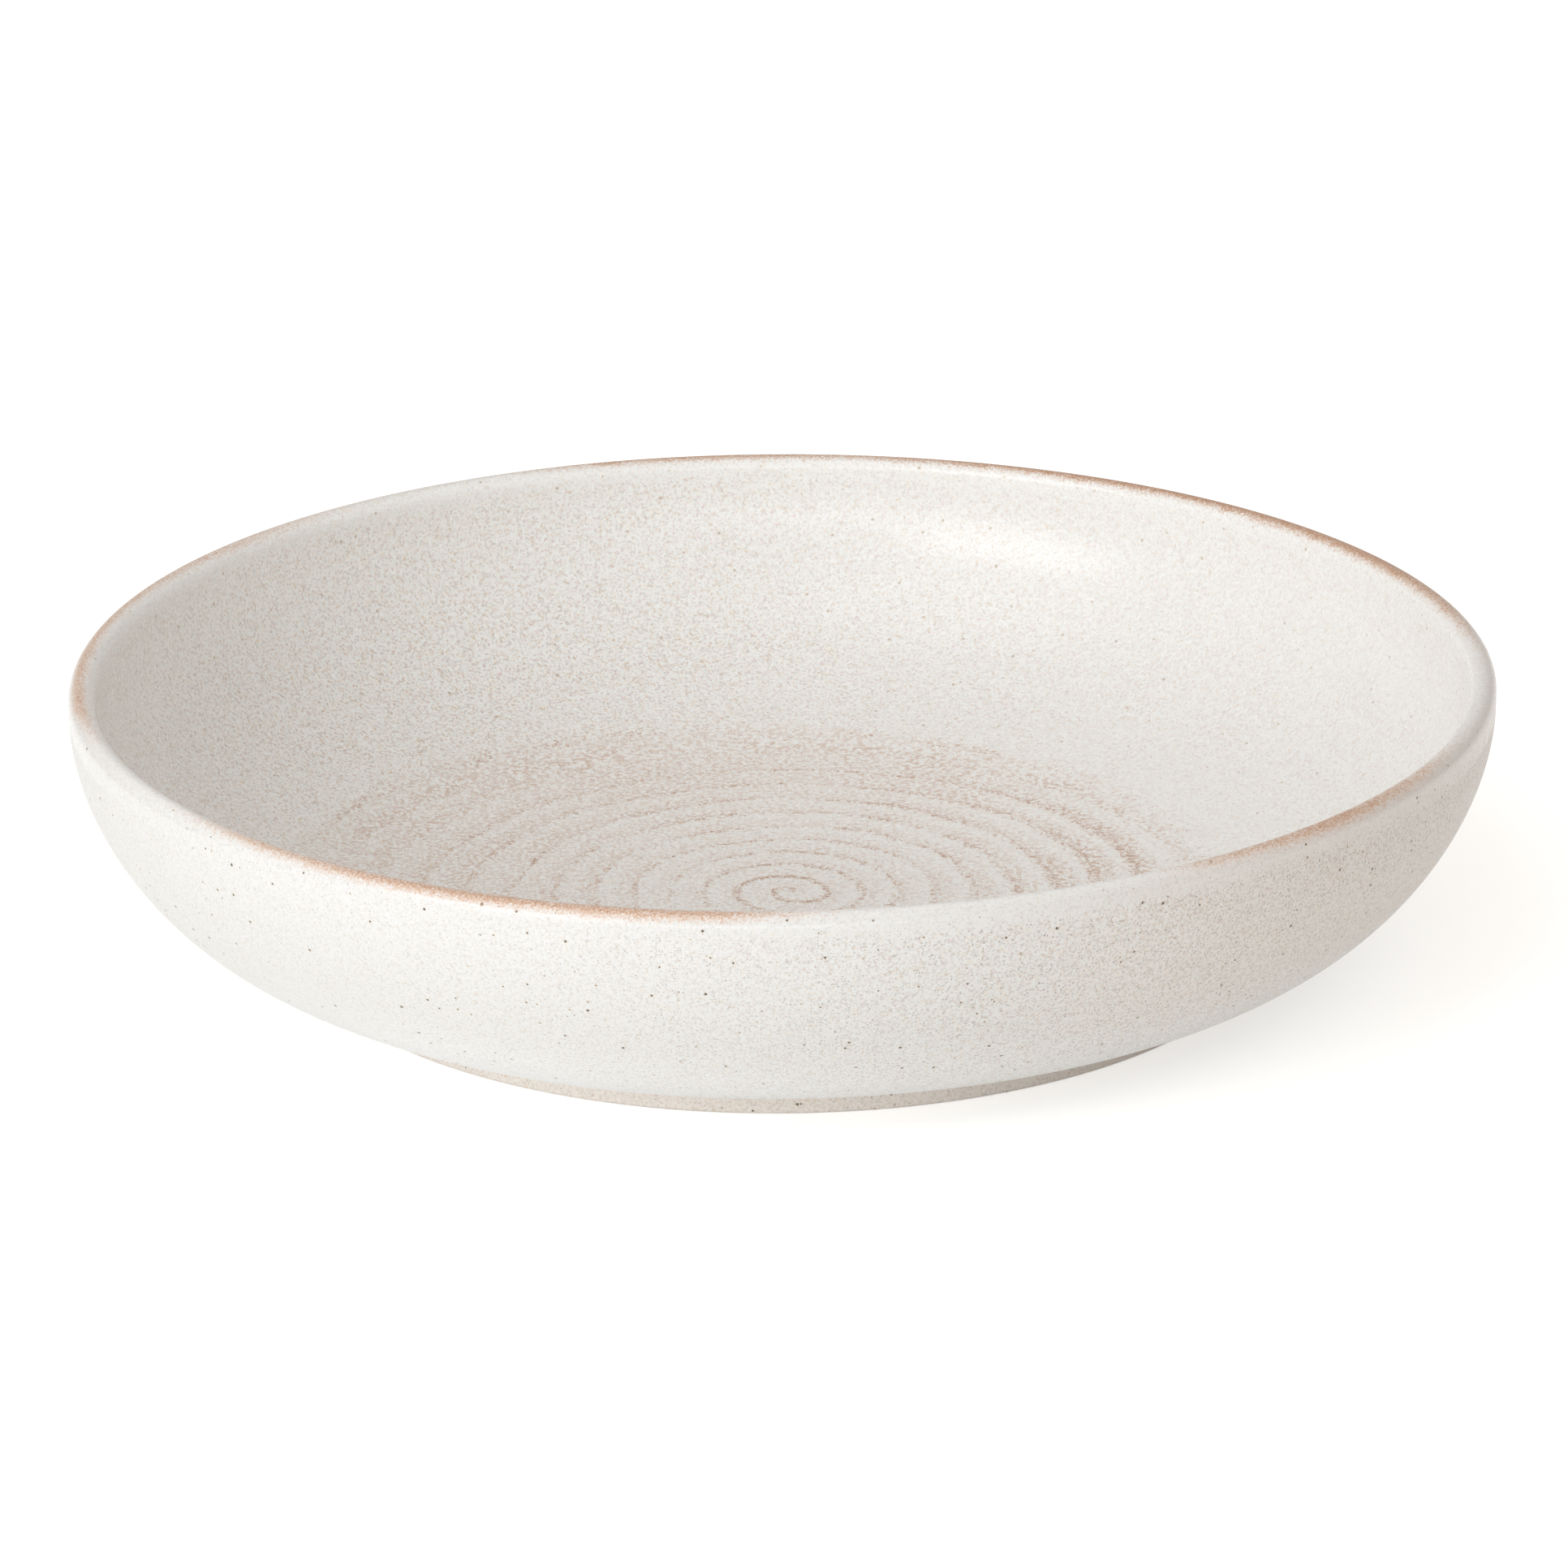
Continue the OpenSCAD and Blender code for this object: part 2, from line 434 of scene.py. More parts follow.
# %% Node bench
class Bench:
    """Places nodes in one shader tree."""

    def __init__(self, tree):
        self.tree = tree

    def feed(self, socket, value):
        if isinstance(value, bpy.types.NodeSocket):
            self.tree.links.new(value, socket)
        else:
            socket.default_value = value

    def node(self, kind, inputs=None, **settings):
        made = self.tree.nodes.new(kind)
        for name, value in settings.items():
            setattr(made, name, value)
        for key, value in (inputs or {}).items():
            self.feed(made.inputs[key], value)
        return made

    def group(self, tree, **inputs):
        return self.node("ShaderNodeGroup", inputs, node_tree=tree).outputs

    def math(self, operation, *values, clamp=False):
        made = self.node("ShaderNodeMath", operation=operation, use_clamp=clamp)
        for socket, value in zip(made.inputs, values):
            self.feed(socket, value)
        return made.outputs[0]

    def times(self, product, *others):
        for other in others:
            product = self.math("MULTIPLY", product, other)
        return product

    def largest(self, most, *others):
        for other in others:
            most = self.math("MAXIMUM", most, other)
        return most

    def minus(self, first, second):
        return self.math("SUBTRACT", first, second)

    def on_top(self, start, value, factor):
        """The start, with the value times the factor added to it."""
        return self.math("MULTIPLY_ADD", value, factor, start)

    def smooth(self, value, start, end, low=0.0, high=1.0):
        """Goes from low to high as the value goes from start to end, without corners."""
        inputs = {"Value": value, "From Min": start, "From Max": end, "To Min": low, "To Max": high}
        return self.node("ShaderNodeMapRange", inputs, interpolation_type="SMOOTHSTEP").outputs[0]

    def blend(self, share, first, second):
        made = self.node("ShaderNodeMix", data_type="RGBA", clamp_factor=True)
        for slot, value in ((0, share), (6, first), (7, second)):
            self.feed(made.inputs[slot], value)
        return made.outputs[2]

    def bump(self, height, strength, distance):
        inputs = {"Height": height, "Strength": strength, "Distance": distance}
        return self.node("ShaderNodeBump", inputs).outputs["Normal"]


print("bench tools:", ", ".join(name for name in vars(Bench) if not name.startswith("_")))

# %% [markdown]
# ## Noise, places and groups
#
# Most marks on the glaze come from noise. A noise texture that is cut softly between two of its
# levels gives patches, and one with its middle level taken off frays an edge to both sides. Places
# are measured from the bowl's own axis, so a finish stays put when the camera moves. An effect that
# several materials share is made once, as a group with named sockets.

# %% Noise, places and groups
class GlazeBench(Bench):
    """A bench with the textures and places that the glazes need."""

    def noise(self, vector, scale, detail, roughness):
        inputs = {"Vector": vector, "Scale": scale, "Detail": detail, "Roughness": roughness}
        return self.node("ShaderNodeTexNoise", inputs).outputs["Fac"]

    def fray(self, vector, scale, detail, roughness):
        """Noise about zero."""
        return self.minus(self.noise(vector, scale, detail, roughness), 0.5)

    def patches(self, vector, scale, detail, roughness, start, end, low=0.0, high=1.0):
        """Low where the noise is under the start level, high where it is over the end level."""
        return self.smooth(self.noise(vector, scale, detail, roughness), start, end, low, high)

    def shifted(self, vector, along_x):
        """The place moved along x, so that two textures don't fall on each other."""
        inputs = {0: vector, 1: (along_x, 0, 0)}
        return self.node("ShaderNodeVectorMath", inputs, operation="ADD").outputs[0]

    def split(self, vector):
        """x, y and z of a place, and its distance from the axis."""
        x, y, z = self.node("ShaderNodeSeparateXYZ", {"Vector": vector}).outputs
        return x, y, z, self.math("SQRT", self.on_top(self.times(y, y), x, x))


def colour(red, green, blue):
    """A colour from its values on a screen, 0 to 255, as the linear values that nodes use."""
    def linear(value):
        share = value / 255
        return share / 12.92 if share <= 0.04045 else ((share + 0.055) / 1.055) ** 2.4
    return linear(red), linear(green), linear(blue), 1.0


def new_group(name, inputs, outputs):
    """A shader group with named sockets: its bench, its inputs and its output node's inputs."""
    tree = bpy.data.node_groups.new(name, "ShaderNodeTree")
    for label, kind, default in inputs:
        socket = tree.interface.new_socket(label, in_out="INPUT", socket_type=f"NodeSocket{kind}")
        if default is not None:
            socket.default_value = default
    for label, kind in outputs:
        tree.interface.new_socket(label, in_out="OUTPUT", socket_type=f"NodeSocket{kind}")
    bench = GlazeBench(tree)
    given = bench.node("NodeGroupInput").outputs
    return bench, given, bench.node("NodeGroupOutput").inputs


print("middle grey is", round(colour(128, 128, 128)[0], 3), "in a node")

# %% [markdown]
# ## Specks
#
# Iron in the clay melts into the glaze as specks. A Voronoi texture scatters one random point in
# each cell of space, and gives a random colour for each cell. One channel of that colour sets the
# size of the speck, a second decides whether the cell has one at all, and the third is left for its
# strength. Space, not the surface, is divided, so specks need no UV map and run across the seams
# between coats.

# %% Group: iron specks
def make_specks():
    bench, given, out = new_group(
        "Iron specks",
        [
            ("Vector", "Vector", None),
            ("Cell", "Float", 2 * MM),
            ("Smallest", "Float", 0.1 * MM),
            ("Largest", "Float", 0.3 * MM),
            ("Share", "Float", 0.5),
            ("Softness", "Float", 0.1 * MM),
        ],
        [("Mask", "Float"), ("Random", "Float")],
    )
    scale = bench.math("DIVIDE", 1.0, given["Cell"])
    cells = bench.node("ShaderNodeTexVoronoi", {"Vector": given["Vector"], "Scale": scale}).outputs
    chance = bench.node("ShaderNodeSeparateColor", {"Color": cells["Color"]}).outputs
    distance = bench.times(cells["Distance"], given["Cell"])
    spread = bench.minus(given["Largest"], given["Smallest"])
    size = bench.on_top(given["Smallest"], chance[0], spread)
    inside = bench.math("DIVIDE", bench.minus(size, distance), given["Softness"])
    mask = bench.math("ADD", inside, 0.5, clamp=True)
    there = bench.math("LESS_THAN", chance[1], given["Share"])
    bench.feed(out["Mask"], bench.times(mask, there))
    bench.feed(out["Random"], chance[2])
    return bench.tree


SPECKS = make_specks()
print("made group", SPECKS.name, "with", len(SPECKS.nodes), "nodes")

# %% [markdown]
# ## The ground of the glaze
#
# Seen close, the pale glaze is a crowd of tan, grey and pinkish grains with sparse pepper specks,
# some of them in an ochre halo. One painted tile would repeat, so the group lays noise and specks
# over each other: soft spots, a crowd of faint grains, fine pins, dust, and pepper with its halo.
# Every coat uses it with its own amounts, so the bowl looks glazed in one bucket.

# %% Values of the ground
GREY_PIN, TAN_PIN = colour(150, 145, 138), colour(190, 166, 146)
PEPPER, DUST = colour(66, 58, 50), colour(124, 110, 97)
OCHRE, PINK = colour(226, 204, 174), colour(226, 202, 188)
CROWD = colour(170, 150, 138)

# Noise of the soft marks: grains per metre, detail, roughness, and the levels to cut between
SPOT_NOISE = (1300, 2, 0.6, 0.5, 0.74)
HUE_NOISE = (300, 1, 0.5, 0.45, 0.55)
CROWD_NOISE, CROWD_SHIFT, CROWD_FULL = (1350, 2, 0.6, 0.46, 0.7), 0.3, 0.6
SATIN_NOISE, SATIN, SPOT_ROUGHER = (260, 3, 0.55, 0.3, 0.7), (0.22, 0.29), 0.1
RIPPLE_NOISE, PEPPER_PIT = (240, 2, 0.5), -0.5

# Specks: shift of the texture, then cell, smallest and largest radius, and softness in millimetres
GREY_PINS = (0.0, 0.62, 0.08, 0.2, 0.2)
TAN_PINS = (0.5, 0.62, 0.08, 0.2, 0.2)
DUST_SPECKS = (0.2, 2.0, 0.12, 0.24, 0.12)
HALOS = (0.8, 3.7, 0.36, 0.54, 0.25)
PEPPER_SPECKS = (0.8, 3.7, 0.2, 0.38, 0.14)
PINS_OFTEN, DUST_OFTEN = 0.85, 0.5
PEPPER_LEAST, PEPPER_MORE = 0.04, 0.9
HALO_SHARE = 0.4
print("pepper specks are up to", 2 * PEPPER_SPECKS[3], "mm across")

# %% [markdown]
# ## The layers of the ground
#
# The layers go on from the broadest to the sharpest, each blended over the one before. The group also
# puts out a height for the bump, a low ripple with a pit at each pepper speck, and a satin roughness
# that changes a little from place to place.

# %% Group: speckled ground
def make_ground():
    bench, given, out = new_group(
        "Speckled ground",
        [
            ("Vector", "Vector", None),
            ("Ground", "Color", (0.8, 0.78, 0.74, 1)),
            ("Grain", "Float", 0.5),
            ("Pins", "Float", 0.5),
            ("Blush", "Float", 0.5),
            ("Pepper", "Float", 0.9),
        ],
        [("Color", "Color"), ("Height", "Float"), ("Roughness", "Float")],
    )
    place = given["Vector"]

    def specks(kind, share):
        shift, *sizes = kind
        cell, smallest, largest, softness = (size * MM for size in sizes)
        return bench.group(
            SPECKS, Vector=bench.shifted(place, shift), Cell=cell, Share=share,
            Smallest=smallest, Largest=largest, Softness=softness,
        )

    # small ragged spots, ochre in some places and pink in others, and a crowd of faint grains
    spot = bench.patches(place, *SPOT_NOISE)
    spot_tint = bench.blend(bench.patches(place, *HUE_NOISE), OCHRE, PINK)
    tint = bench.blend(bench.times(spot, given["Blush"]), given["Ground"], spot_tint)
    crowd = bench.patches(bench.shifted(place, CROWD_SHIFT), *CROWD_NOISE)
    tint = bench.blend(bench.times(given["Grain"], CROWD_FULL, crowd), tint, CROWD)

    # fine pins and dust, each with its own strength
    for kind, pin_tint in ((GREY_PINS, GREY_PIN), (TAN_PINS, TAN_PIN)):
        pins = specks(kind, PINS_OFTEN)
        tint = bench.blend(bench.times(pins["Mask"], pins["Random"], given["Pins"]), tint, pin_tint)
    dust = specks(DUST_SPECKS, DUST_OFTEN)
    tint = bench.blend(bench.times(dust["Random"], given["Pepper"], dust["Mask"]), tint, DUST)

    # sparse pepper with a pale edge of ochre
    often = bench.on_top(PEPPER_LEAST, given["Pepper"], PEPPER_MORE)
    halo = specks(HALOS, often)
    tint = bench.blend(bench.times(halo["Mask"], HALO_SHARE), tint, OCHRE)
    pepper = specks(PEPPER_SPECKS, often)
    tint = bench.blend(bench.times(pepper["Mask"], given["Pepper"]), tint, PEPPER)

    bench.feed(out["Color"], tint)
    ripple = bench.noise(place, *RIPPLE_NOISE)
    bench.feed(out["Height"], bench.on_top(ripple, pepper["Mask"], PEPPER_PIT))
    satin = bench.patches(place, *SATIN_NOISE, *SATIN)
    bench.feed(out["Roughness"], bench.on_top(satin, spot, SPOT_ROUGHER))
    return bench.tree


GROUND = make_ground()
print("made group", GROUND.name, "with", len(GROUND.nodes), "nodes")

# %% [markdown]
# ## Brown round the lip
#
# Where glaze runs thin on the lip, iron breaks through as a warm brown. How brown depends on how the
# bowl was held when it was dipped, so the amount changes round the lip. Painting it would need a UV
# map. A colour ramp over one turn holds it instead: its red is how strong the brown is, its green how
# far it reaches from the top of the lip, and its blue how far outward its middle leans.

# %% Amounts round the lip
# Turn about the axis in degrees, strength, reach in millimetres and lean in millimetres
RIM_STOPS = (
    (0, 0.2, 1.4, 0.2),
    (5, 0.45, 1.7, 0.0),
    (12, 0.75, 2.0, 0.0),
    (25, 0.95, 2.4, 0.0),
    (35, 0.95, 2.5, 0.0),
    (48, 1.0, 2.1, 0.0),
    (61, 1.0, 2.1, 0.0),
    (73, 0.9, 1.9, 0.0),
    (84, 0.72, 1.6, 0.0),
    (95, 0.85, 1.8, 0.0),
    (106, 0.8, 1.6, 0.0),
    (117, 0.2, 1.0, 0.0),
    (130, 0.25, 1.8, 0.0),
    (142, 0.5, 2.6, 0.0),
    (152, 0.6, 2.2, 0.3),
    (168, 0.7, 1.6, 0.8),
    (190, 0.75, 1.7, 0.6),
    (200, 0.12, 1.2, 0.0),
    (214, 0.12, 1.2, 0.0),
    (224, 0.66, 1.6, 0.3),
    (240, 0.8, 1.9, 0.7),
    (256, 0.8, 2.0, 0.8),
    (266, 0.74, 1.9, 0.75),
    (273, 0.25, 1.5, 0.4),
    (280, 0.04, 1.0, 0.0),
    (297, 0.06, 1.0, 0.0),
    (304, 0.6, 1.8, 0.4),
    (318, 0.84, 2.3, 0.6),
    (330, 0.6, 1.8, 0.6),
    (342, 0.12, 1.2, 0.4),
)
REACH_FULL = 4 * MM


def rim_amounts(bench, x, y):
    """Strength, reach and lean of the brown at a place."""
    angle = bench.math("ARCTAN2", y, x)
    turn = bench.math("FRACT", bench.math("DIVIDE", angle, 2 * math.pi))
    ramp = bench.node("ShaderNodeValToRGB", {"Fac": turn})
    stops = ramp.color_ramp.elements
    for degrees, strength, reach, lean in RIM_STOPS:
        stop = stops.new(degrees / 360) if degrees else stops[0]
        stop.color = (strength, reach * MM / REACH_FULL, lean * MM / REACH_FULL, 1)
    stops[-1].color = stops[0].color
    amounts = bench.node("ShaderNodeSeparateColor", {"Color": ramp.outputs["Color"]}).outputs
    return amounts[0], bench.times(amounts[1], REACH_FULL), bench.times(amounts[2], REACH_FULL)


print(len(RIM_STOPS), "stops round the lip")

# %% [markdown]
# ## The break at the rim
#
# Across the lip the group measures the distance from its top along the skin, with the warp of the
# fired clay taken off. Noise stretched across the lip frays the edge of the brown into short hairs,
# longer inward than outward, broad patches move it, and fine noise crumbles it. Where the brown is
# thickest a darker core shows.

# %% Group: rim break
HAIRS_ROUND, HAIRS_ACROSS, HAIR_NOISE = 1300, 450, (1.0, 2, 0.6)
HAIR_SIDES, HAIR_LENGTHS = (-1.5 * MM, 1.0 * MM), (2.2 * MM, 0.6 * MM)
RIM_PATCH_NOISE, RIM_PATCH_REACH = (150, 3, 0.6), 1.6 * MM
RIM_CRUMB_NOISE, RIM_CRUMBLE = (1900, 2, 0.8), 2.1
BROWN_EDGE, BROWN_LEAST = (-1.9 * MM, 1.7 * MM), 0.15
BROWN_LEVELS, BROWN_CORE_LEVELS = (0.05, 1.05), (0.6, 1.2)


def over_the_lip(bench, x, y, z, radius):
    """How far outward of the lip's middle a place lies, and how far from its top along the skin."""
    tilt = bench.times(bench.math("DIVIDE", x, radius), TILT)
    cross = bench.math("DIVIDE", bench.times(x, y), bench.times(radius, radius))
    lift = bench.on_top(tilt, cross, -2 * SADDLE)
    level = bench.minus(bench.minus(z, HEIGHT - LIP_R), lift)
    side = bench.minus(radius, RIM_R - LIP_R)
    round_lip = bench.math("ARCTAN2", bench.math("ABSOLUTE", side), bench.largest(level, 0.0))
    below = bench.largest(bench.times(level, -1.0), 0.0)
    return side, bench.on_top(below, round_lip, LIP_R)


def make_rim_break():
    bench, given, out = new_group(
        "Rim break", [("Vector", "Vector", None)], [("Brown", "Float"), ("Core", "Float")]
    )
    place = given["Vector"]
    x, y, z, radius = bench.split(place)
    side, from_top = over_the_lip(bench, x, y, z, radius)
    strength, reach, lean = rim_amounts(bench, x, y)
    outward = bench.times(from_top, bench.math("SIGN", side))
    away = bench.math("ABSOLUTE", bench.minus(outward, lean))

    hair_place = bench.node("ShaderNodeCombineXYZ", {
        "X": bench.times(x, HAIRS_ROUND),
        "Y": bench.times(y, HAIRS_ROUND),
        "Z": bench.times(from_top, HAIRS_ACROSS),
    }).outputs[0]
    hair_length = bench.smooth(side, *HAIR_SIDES, *HAIR_LENGTHS)
    reach = bench.on_top(reach, bench.fray(hair_place, *HAIR_NOISE), hair_length)
    reach = bench.on_top(reach, bench.fray(place, *RIM_PATCH_NOISE), RIM_PATCH_REACH)
    cover = bench.times(bench.smooth(bench.minus(reach, away), *BROWN_EDGE), strength)
    crumbs = bench.on_top(cover, bench.fray(place, *RIM_CRUMB_NOISE), RIM_CRUMBLE)
    covered = bench.smooth(cover, 0.0, BROWN_LEAST)
    bench.feed(out["Brown"], bench.times(bench.smooth(crumbs, *BROWN_LEVELS), covered))
    bench.feed(out["Core"], bench.smooth(crumbs, *BROWN_CORE_LEVELS))
    return bench.tree


RIM_BREAK = make_rim_break()
print("made group", RIM_BREAK.name, "with", len(RIM_BREAK.nodes), "nodes")

# %% [markdown]
# ## The spiral in the glaze
#
# On the floor the glaze is thin on the crest of every finger ring, and the iron shows there as a
# broken brown line. The colour has to lie on the ridge, so the formula of the spiral is repeated with
# math nodes: it counts the turns outward, and is a whole number on the line. Across one turn the
# brown is sharp on the line and trails off outward. Towards the back and the left of the floor the
# lines get thinner and dissolve.

# %% Lines of the spiral in nodes
TO_BACK, TO_RIGHT = (46 * MM, 88 * MM), (10 * MM, 80 * MM)
TO_LEFT, LEFT_SHARE = (-85 * MM, -30 * MM), 0.45
DISSOLVING, LINE_KEPT, TRAIL_KEPT = (0.0, 0.7), 0.6, 0.55
LINE_FULL, LINE_HALF = 0.3 * MM, (2.3 * MM, 3.0 * MM)
TRAIL_OUTWARD, TRAIL_SHARES, TRAIL_END = (15 * MM, 60 * MM), (0.2, 0.7), 0.6
TRAIL_RIGHT, TRAIL_MORE = (20 * MM, 80 * MM), 0.2


def spiral_phase(bench, x, y, radius):
    """The same count of turns as ring_phase gives."""
    shifted_x = bench.minus(x, PITCH / 2)
    squares = bench.on_top(bench.times(y, y), shifted_x, shifted_x)
    before = bench.minus(bench.math("SQRT", squares), PITCH / 2)
    is_behind = bench.math("GREATER_THAN", y, 0.0)
    ring_radius = bench.on_top(before, is_behind, bench.minus(radius, before))
    phase = bench.math("DIVIDE", bench.minus(ring_radius, SPIRAL_START), PITCH)
    for along_x, along_y, start, share in WAVES:
        wave = bench.on_top(start, y, 2 * math.pi / along_y)
        wave = bench.on_top(wave, x, 2 * math.pi / along_x)
        phase = bench.on_top(phase, bench.math("SINE", wave), share)
    bow = bench.math("SINE", bench.times(radius, math.pi / BOW_R))
    return bench.on_top(phase, bow, BOW)


def line_shape(bench, x, radius, phase, dissolved):
    """Brown across one turn: the line itself or its trail, whichever is stronger."""
    off = bench.math("ABSOLUTE", bench.minus(phase, bench.math("ROUND", phase)))
    half = bench.smooth(x, *TO_RIGHT, *LINE_HALF)
    half = bench.times(half, bench.smooth(dissolved, *DISSOLVING, 1.0, LINE_KEPT))
    line = bench.smooth(bench.times(off, PITCH), LINE_FULL, half, 1.0, 0.0)
    share = bench.smooth(radius, *TRAIL_OUTWARD, *TRAIL_SHARES)
    share = bench.math("ADD", share, bench.smooth(x, *TRAIL_RIGHT, 0.0, TRAIL_MORE))
    share = bench.times(share, bench.smooth(dissolved, *DISSOLVING, 1.0, TRAIL_KEPT))
    trail = bench.smooth(bench.math("FRACT", phase), 0.0, TRAIL_END, 1.0, 0.0)
    return bench.largest(line, bench.times(trail, share))


print("lines are up to", round(2000 * LINE_HALF[1], 1), "mm wide")

# %% [markdown]
# ## Where the lines are strong
#
# No finger line is even. Broad patches and short breaks come from noise. The eye of the spiral is
# unbroken, the right of the floor is stronger, the front is weaker, and the last turn fades out. The
# amounts are multiplied, so that each can be changed by itself.

# %% Strength of the lines
EYE, EYE_STRENGTH = (12 * MM, 40 * MM), 1.2
PATCH_NOISE, PATCH_STRENGTHS = (55, 2, 0.5, 0.35, 0.65), (0.65, 1.05)
BREAK_NOISE, BREAK_STRENGTHS = (260, 2, 0.6, 0.36, 0.64), (0.75, 1.1)
PATCHLESS_RIGHT = (40 * MM, 75 * MM)
SIDEWAYS, SIDE_STRENGTHS = (-20 * MM, 80 * MM), (0.82, 1.05)
FROM_FRONT, FRONT_STRENGTHS = (-12 * MM, 28 * MM), (0.76, 1.0)
DISSOLVED_STRENGTH = 0.9
LAST_TURN = (88 * MM, 95 * MM)


def line_strength(bench, place, x, y, radius, dissolved):
    eye = bench.smooth(radius, *EYE, EYE_STRENGTH, 0.0)
    patch = bench.patches(place, *PATCH_NOISE, *PATCH_STRENGTHS)
    patch = bench.largest(patch, eye, bench.smooth(x, *PATCHLESS_RIGHT))
    breaks = bench.largest(bench.patches(place, *BREAK_NOISE, *BREAK_STRENGTHS), eye)
    side = bench.smooth(x, *SIDEWAYS, *SIDE_STRENGTHS)
    front = bench.smooth(y, *FROM_FRONT, *FRONT_STRENGTHS)
    back = bench.smooth(dissolved, 0.0, 1.0, 1.0, DISSOLVED_STRENGTH)
    end = bench.smooth(radius, *LAST_TURN, 1.0, 0.0)
    return bench.times(patch, breaks, side, front, back, end)


print("lines end between", round(1000 * LAST_TURN[0]), "and", round(1000 * LAST_TURN[1]), "mm out")

# %% [markdown]
# ## Rings in the glaze
#
# The group puts the lines together with one more: a faint tide line, a little off centre, where the
# floor turns up into the wall. Coarse and fine noise crumbles them all into grains, with a darker core
# where most of the brown is left. Between the lines lies a mottled wash of pink, thin in the clean gap
# inside each line and fuller out to the tide line.

# %% Group: throwing rings
TIDE_R, TIDE_OFF, TIDE_HALF, TIDE_END = 109 * MM, 7 * MM, 4 * MM, (2 * MM, 8 * MM)
TIDE_NOISE, TIDE_STRENGTHS = (38, 2, 0.5, 0.4, 0.6), (0.2, 0.65)
COARSE_NOISE, COARSE_CRUMBLE = (700, 3, 0.6), 3.4
FINE_NOISE, FINE_SHIFT, FINE_CRUMBLE = (1700, 2, 0.6), 0.7, 3.0
LINE_LEVELS, LINE_CORE_LEVELS = (0.5, 1.35), (0.95, 1.7)
MOTTLE_NOISE, MOTTLE_SHIFT = (800, 2, 0.55, 0.46, 0.62), 0.4
CLOUD_NOISE, CLOUD_SHARES = (45, 2, 0.5, 0.35, 0.65), (0.6, 1.0)
CLEAN_GAP, CLEAN_SHARE = (0.35, 0.7), 0.2
WASH_OUTWARD, WASH_SHARES = (30 * MM, 90 * MM), (0.55, 1.0)
WASH_END, WASH_PAST, WASH_RIGHT = (-10 * MM, 6 * MM), 0.12, 1.3


def make_rings():
    bench, given, out = new_group(
        "Throwing rings",
        [("Vector", "Vector", None)],
        [("Line", "Float"), ("Core", "Float"), ("Wash", "Float")],
    )
    place = given["Vector"]
    x, y, _, radius = bench.split(place)
    phase = spiral_phase(bench, x, y, radius)
    dissolved = bench.largest(bench.smooth(y, *TO_BACK), bench.smooth(x, *TO_LEFT, LEFT_SHARE, 0.0))
    lines = bench.times(
        line_shape(bench, x, radius, phase, dissolved),
        line_strength(bench, place, x, y, radius, dissolved),
    )
    tide_radius = bench.on_top(TIDE_R, bench.math("DIVIDE", x, radius), -TIDE_OFF)
    past_tide = bench.minus(radius, tide_radius)
    tide = bench.smooth(bench.math("ABSOLUTE", past_tide), 0.0, TIDE_HALF, 1.0, 0.0)
    tide = bench.times(tide, bench.patches(place, *TIDE_NOISE, *TIDE_STRENGTHS))

    fine_place = bench.shifted(place, FINE_SHIFT)
    crumbs = bench.largest(lines, tide)
    crumbs = bench.on_top(crumbs, bench.fray(place, *COARSE_NOISE), COARSE_CRUMBLE)
    crumbs = bench.on_top(crumbs, bench.fray(fine_place, *FINE_NOISE), FINE_CRUMBLE)
    within = bench.smooth(past_tide, *TIDE_END, 1.0, 0.0)
    bench.feed(out["Line"], bench.times(bench.smooth(crumbs, *LINE_LEVELS), within))
    bench.feed(out["Core"], bench.smooth(crumbs, *LINE_CORE_LEVELS))

    mottle = bench.patches(bench.shifted(place, MOTTLE_SHIFT), *MOTTLE_NOISE)
    cloud = bench.patches(place, *CLOUD_NOISE, *CLOUD_SHARES)
    between = bench.smooth(bench.math("FRACT", phase), *CLEAN_GAP, 1.0, CLEAN_SHARE)
    between = bench.on_top(between, bench.minus(1.0, between), dissolved)
    outward = bench.smooth(radius, *WASH_OUTWARD, *WASH_SHARES)
    zone = bench.smooth(past_tide, *WASH_END, 1.0, WASH_PAST)
    side = bench.smooth(x, *TO_RIGHT, 1.0, WASH_RIGHT)
    bench.feed(out["Wash"], bench.times(mottle, between, cloud, outward, zone, side))
    return bench.tree


RINGS = make_rings()
print("made group", RINGS.name, "with", len(RINGS.nodes), "nodes")

# %% [markdown]
# ## Tint and grain of the glaze
#
# The same glaze looks different from place to place. Inside it is painted lighter and outside darker,
# as light and shade on one glaze; inside it is also calmer and outside more peppered. Low on the
# outside, except at the far left, it is painted lighter still as bounce light from the floor, and to
# the right it is warmer. One side of the kiln brings out more grain: the left inside, the right
# outside. Low inside, where the coat is thin, more grain shows too. The lip stays calm. Painted masks
# would need a UV map. A smooth change along x or z is enough for each of these.

# %% Tint and grain
# Inside and outside are one glaze: the inner tint is painted lighter and the outer tints darker, as
# painted light and shade.
INSIDE_LIT_TINT, OUTSIDE_SHADED_TINT = colour(247, 247, 245), colour(227, 226, 224)
OUTSIDE_SHADED_WARM, TO_WARM = colour(232, 226, 221), (20 * MM, 130 * MM)
